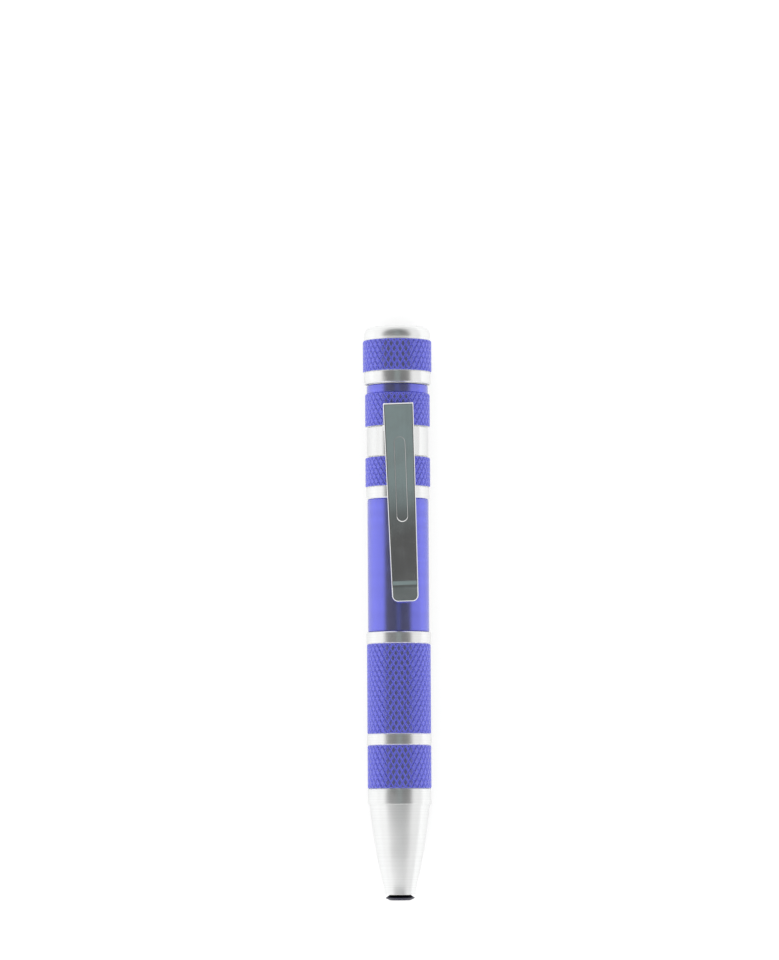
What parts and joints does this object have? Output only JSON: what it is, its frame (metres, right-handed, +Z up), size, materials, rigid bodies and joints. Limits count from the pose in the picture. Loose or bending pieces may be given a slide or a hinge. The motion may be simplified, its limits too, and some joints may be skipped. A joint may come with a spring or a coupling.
{
  "type": "pocket screwdriver",
  "caption": "Pen-shaped screwdriver with a knurled barrel, a hexagonal bit socket in its nose, a sprung pocket clip and a turning tail cap that draws out a rack of bits.",
  "frame": {"origin": "on the surface that the screwdriver lies on, below the middle of its length", "axes": "+Y along the barrel towards the tail cap, +Z up through the pocket clip, +X to the right seen from above with the tail up"},
  "size_m": [0.0173, 0.144, 0.0188],
  "materials": {
    "violet_aluminium": "anodised violet, knurled bands, bare turned rings",
    "bare_aluminium": "fine turned",
    "spring_steel": "bright rolled sheet",
    "tool_steel": "satin",
    "black_steel": "blackened",
    "magnet": "nickel plated",
    "holder_plastic": "moulded",
    "washer_plastic": "natural",
    "rubber": "moulded"
  },
  "bodies": {
    "barrel": {"nose_cone": "bare_aluminium", "bit_socket": "black_steel", "socket_magnet": "magnet", "grip_barrel": "violet_aluminium", "joining_sleeve": "bare_aluminium", "upper_barrel": "violet_aluminium", "clip_band": "spring_steel"},
    "clip": {"clip_arm": "spring_steel"},
    "rack": {"cap_plug": "bare_aluminium", "plug_o_ring": "rubber", "rack_stem": "tool_steel", "upper_bit_holder": "holder_plastic", "lower_bit_holder": "holder_plastic"},
    "cap": {"tail_cap": "violet_aluminium", "swivel_screw": "tool_steel", "thrust_washer": "washer_plastic"},
    "bit_cross_large": {"bit_cross_large": "tool_steel"},
    "bit_slotted_2_4": {"bit_slotted_2_4": "tool_steel"},
    "bit_lobed_large": {"bit_lobed_large": "tool_steel"},
    "bit_cross_middle": {"bit_cross_middle": "tool_steel"},
    "bit_slotted_2_0": {"bit_slotted_2_0": "tool_steel"},
    "bit_lobed_small": {"bit_lobed_small": "tool_steel"},
    "bit_cross_small": {"bit_cross_small": "tool_steel"},
    "bit_slotted_1_4": {"bit_slotted_1_4": "tool_steel"}
  },
  "joints": [
    {"name": "clip_flex", "type": "hinge", "parent": "barrel", "child": "clip", "pos_m": [0, 0.0514, 0.0178], "axis": [-0.9995, -0.0314, 0], "range_deg": [0, 5], "stiffness_Nm_per_rad": 0.15, "springref_deg": -5.73},
    {"name": "rack_pull", "type": "slide", "parent": "barrel", "child": "rack", "axis": [0, 1, 0], "range_m": [0, 0.09]},
    {"name": "cap_turn", "type": "hinge", "parent": "rack", "child": "cap", "pos_m": [0, 0.064, 0.00865], "axis": [0, 1, 0], "continuous": true},
    {"name": "bit_cross_large_pull", "type": "slide", "parent": "rack", "child": "bit_cross_large", "axis": [0, -1, 0], "range_m": [0, 0.0125]},
    {"name": "bit_slotted_2_4_pull", "type": "slide", "parent": "rack", "child": "bit_slotted_2_4", "axis": [0, -1, 0], "range_m": [0, 0.0125]},
    {"name": "bit_lobed_large_pull", "type": "slide", "parent": "rack", "child": "bit_lobed_large", "axis": [0, -1, 0], "range_m": [0, 0.0125]},
    {"name": "bit_cross_middle_pull", "type": "slide", "parent": "rack", "child": "bit_cross_middle", "axis": [0, -1, 0], "range_m": [0, 0.0125]},
    {"name": "bit_slotted_2_0_pull", "type": "slide", "parent": "rack", "child": "bit_slotted_2_0", "axis": [0, -1, 0], "range_m": [0, 0.0125]},
    {"name": "bit_lobed_small_pull", "type": "slide", "parent": "rack", "child": "bit_lobed_small", "axis": [0, -1, 0], "range_m": [0, 0.0125]},
    {"name": "bit_cross_small_pull", "type": "slide", "parent": "rack", "child": "bit_cross_small", "axis": [0, -1, 0], "range_m": [0, 0.0125]},
    {"name": "bit_slotted_1_4_pull", "type": "slide", "parent": "rack", "child": "bit_slotted_1_4", "axis": [0, -1, 0], "range_m": [0, 0.0125]}
  ]
}
